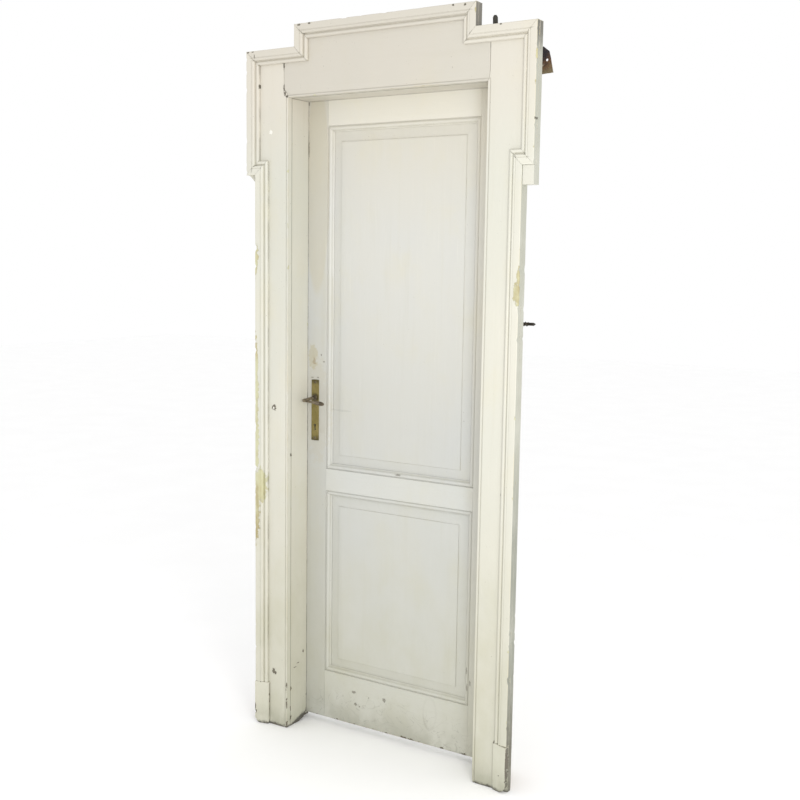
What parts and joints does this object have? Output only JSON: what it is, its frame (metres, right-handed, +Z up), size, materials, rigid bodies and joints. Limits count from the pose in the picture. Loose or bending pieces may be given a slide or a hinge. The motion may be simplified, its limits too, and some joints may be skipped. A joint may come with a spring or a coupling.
{
  "type": "panelled door set",
  "caption": "Tall painted wooden door set: panelled leaf on lift-off hinges in its lining, with an eared moulded casing, plinth blocks, long-plate lever handle and mortise lock.",
  "frame": {"origin": "floor level, on the opening's centre line, in the plane of the wall face that the casing lies on", "axes": "+Z up, +X to the right seen from the casing side, -Y out of the wall towards that side, +Y through the wall"},
  "size_m": [1.058, 0.228, 2.2995],
  "materials": {
    "frame_paint": "aged cream oil paint on softwood, satin, chipped at the edges",
    "leaf_paint": "aged off-white oil paint on softwood, satin, dirty towards the floor",
    "aged_brass": "tarnished olive brass, darker at its ends",
    "lever_bronze": "dark browned bronze, worn brighter on the grip",
    "lock_steel": "dull oiled steel with light rust",
    "hinge_steel": "dark steel with worn paint",
    "rusty_iron": "rusted wrought iron"
  },
  "bodies": {
    "frame": {"casing_left": "frame_paint", "casing_right": "frame_paint", "casing_head": "frame_paint", "mould_left_lower": "frame_paint", "mould_left_return": "frame_paint", "mould_left_ear": "frame_paint", "mould_left_shoulder": "frame_paint", "mould_left_rise": "frame_paint", "mould_top": "frame_paint", "mould_right_lower": "frame_paint", "mould_right_return": "frame_paint", "mould_right_ear": "frame_paint", "mould_right_shoulder": "frame_paint", "mould_right_rise": "frame_paint", "plinth_left": "frame_paint", "plinth_right": "frame_paint", "lining_left": "frame_paint", "lining_right": "frame_paint", "lining_head": "frame_paint", "rebate_left": "frame_paint", "rebate_right": "frame_paint", "rebate_head": "frame_paint", "strike_plate": "lock_steel", "frame_screws": "lock_steel", "hinge_frame_bottom": "hinge_steel", "hinge_frame_middle": "hinge_steel", "hinge_frame_top": "hinge_steel", "hinge_pin_bottom": "hinge_steel", "hinge_pin_middle": "hinge_steel", "hinge_pin_top": "hinge_steel", "anchor_left": "rusty_iron", "anchor_right": "rusty_iron", "wall_screw": "rusty_iron", "nail": "rusty_iron"},
    "leaf": {"stile_lock": "leaf_paint", "stile_hinge": "leaf_paint", "rail_top": "leaf_paint", "rail_middle": "leaf_paint", "rail_bottom": "leaf_paint", "panel_upper": "leaf_paint", "panel_lower": "leaf_paint", "bead_upper_front": "leaf_paint", "bead_upper_back": "leaf_paint", "bead_lower_front": "leaf_paint", "bead_lower_back": "leaf_paint", "lock_case": "lock_steel", "lock_forend": "lock_steel", "leaf_screws": "lock_steel", "plate_front": "aged_brass", "plate_back": "aged_brass", "plate_screws": "aged_brass", "hinge_leaf_bottom": "hinge_steel", "hinge_leaf_middle": "hinge_steel", "hinge_leaf_top": "hinge_steel"},
    "lever": {"lever_front": "lever_bronze", "lever_back": "lever_bronze", "spindle": "lock_steel", "follower": "lock_steel"},
    "latch": {"latch_bolt": "lock_steel"},
    "dead_bolt": {"dead_bolt": "lock_steel"}
  },
  "joints": [
    {"name": "door_swing", "type": "hinge", "parent": "frame", "child": "leaf", "pos_m": [0.3745, 0.137, 1.12], "axis": [0, 0, -1], "range_deg": [0, 165]},
    {"name": "lever_turn", "type": "hinge", "parent": "leaf", "child": "lever", "pos_m": [-0.3235, 0.1285, 1.119], "axis": [0, 1, 0], "range_deg": [0, 40], "stiffness_Nm_per_rad": 1.2, "springref_deg": -20.05},
    {"name": "latch_slide", "type": "slide", "parent": "leaf", "child": "latch", "axis": [1, 0, 0], "range_m": [0, 0.0126]},
    {"name": "dead_bolt_throw", "type": "slide", "parent": "leaf", "child": "dead_bolt", "axis": [-1, 0, 0], "range_m": [0, 0.018]}
  ],
  "couplings": [
    {"joint": "latch_slide", "follows": "lever_turn", "m_per_rad": 0.018}
  ]
}
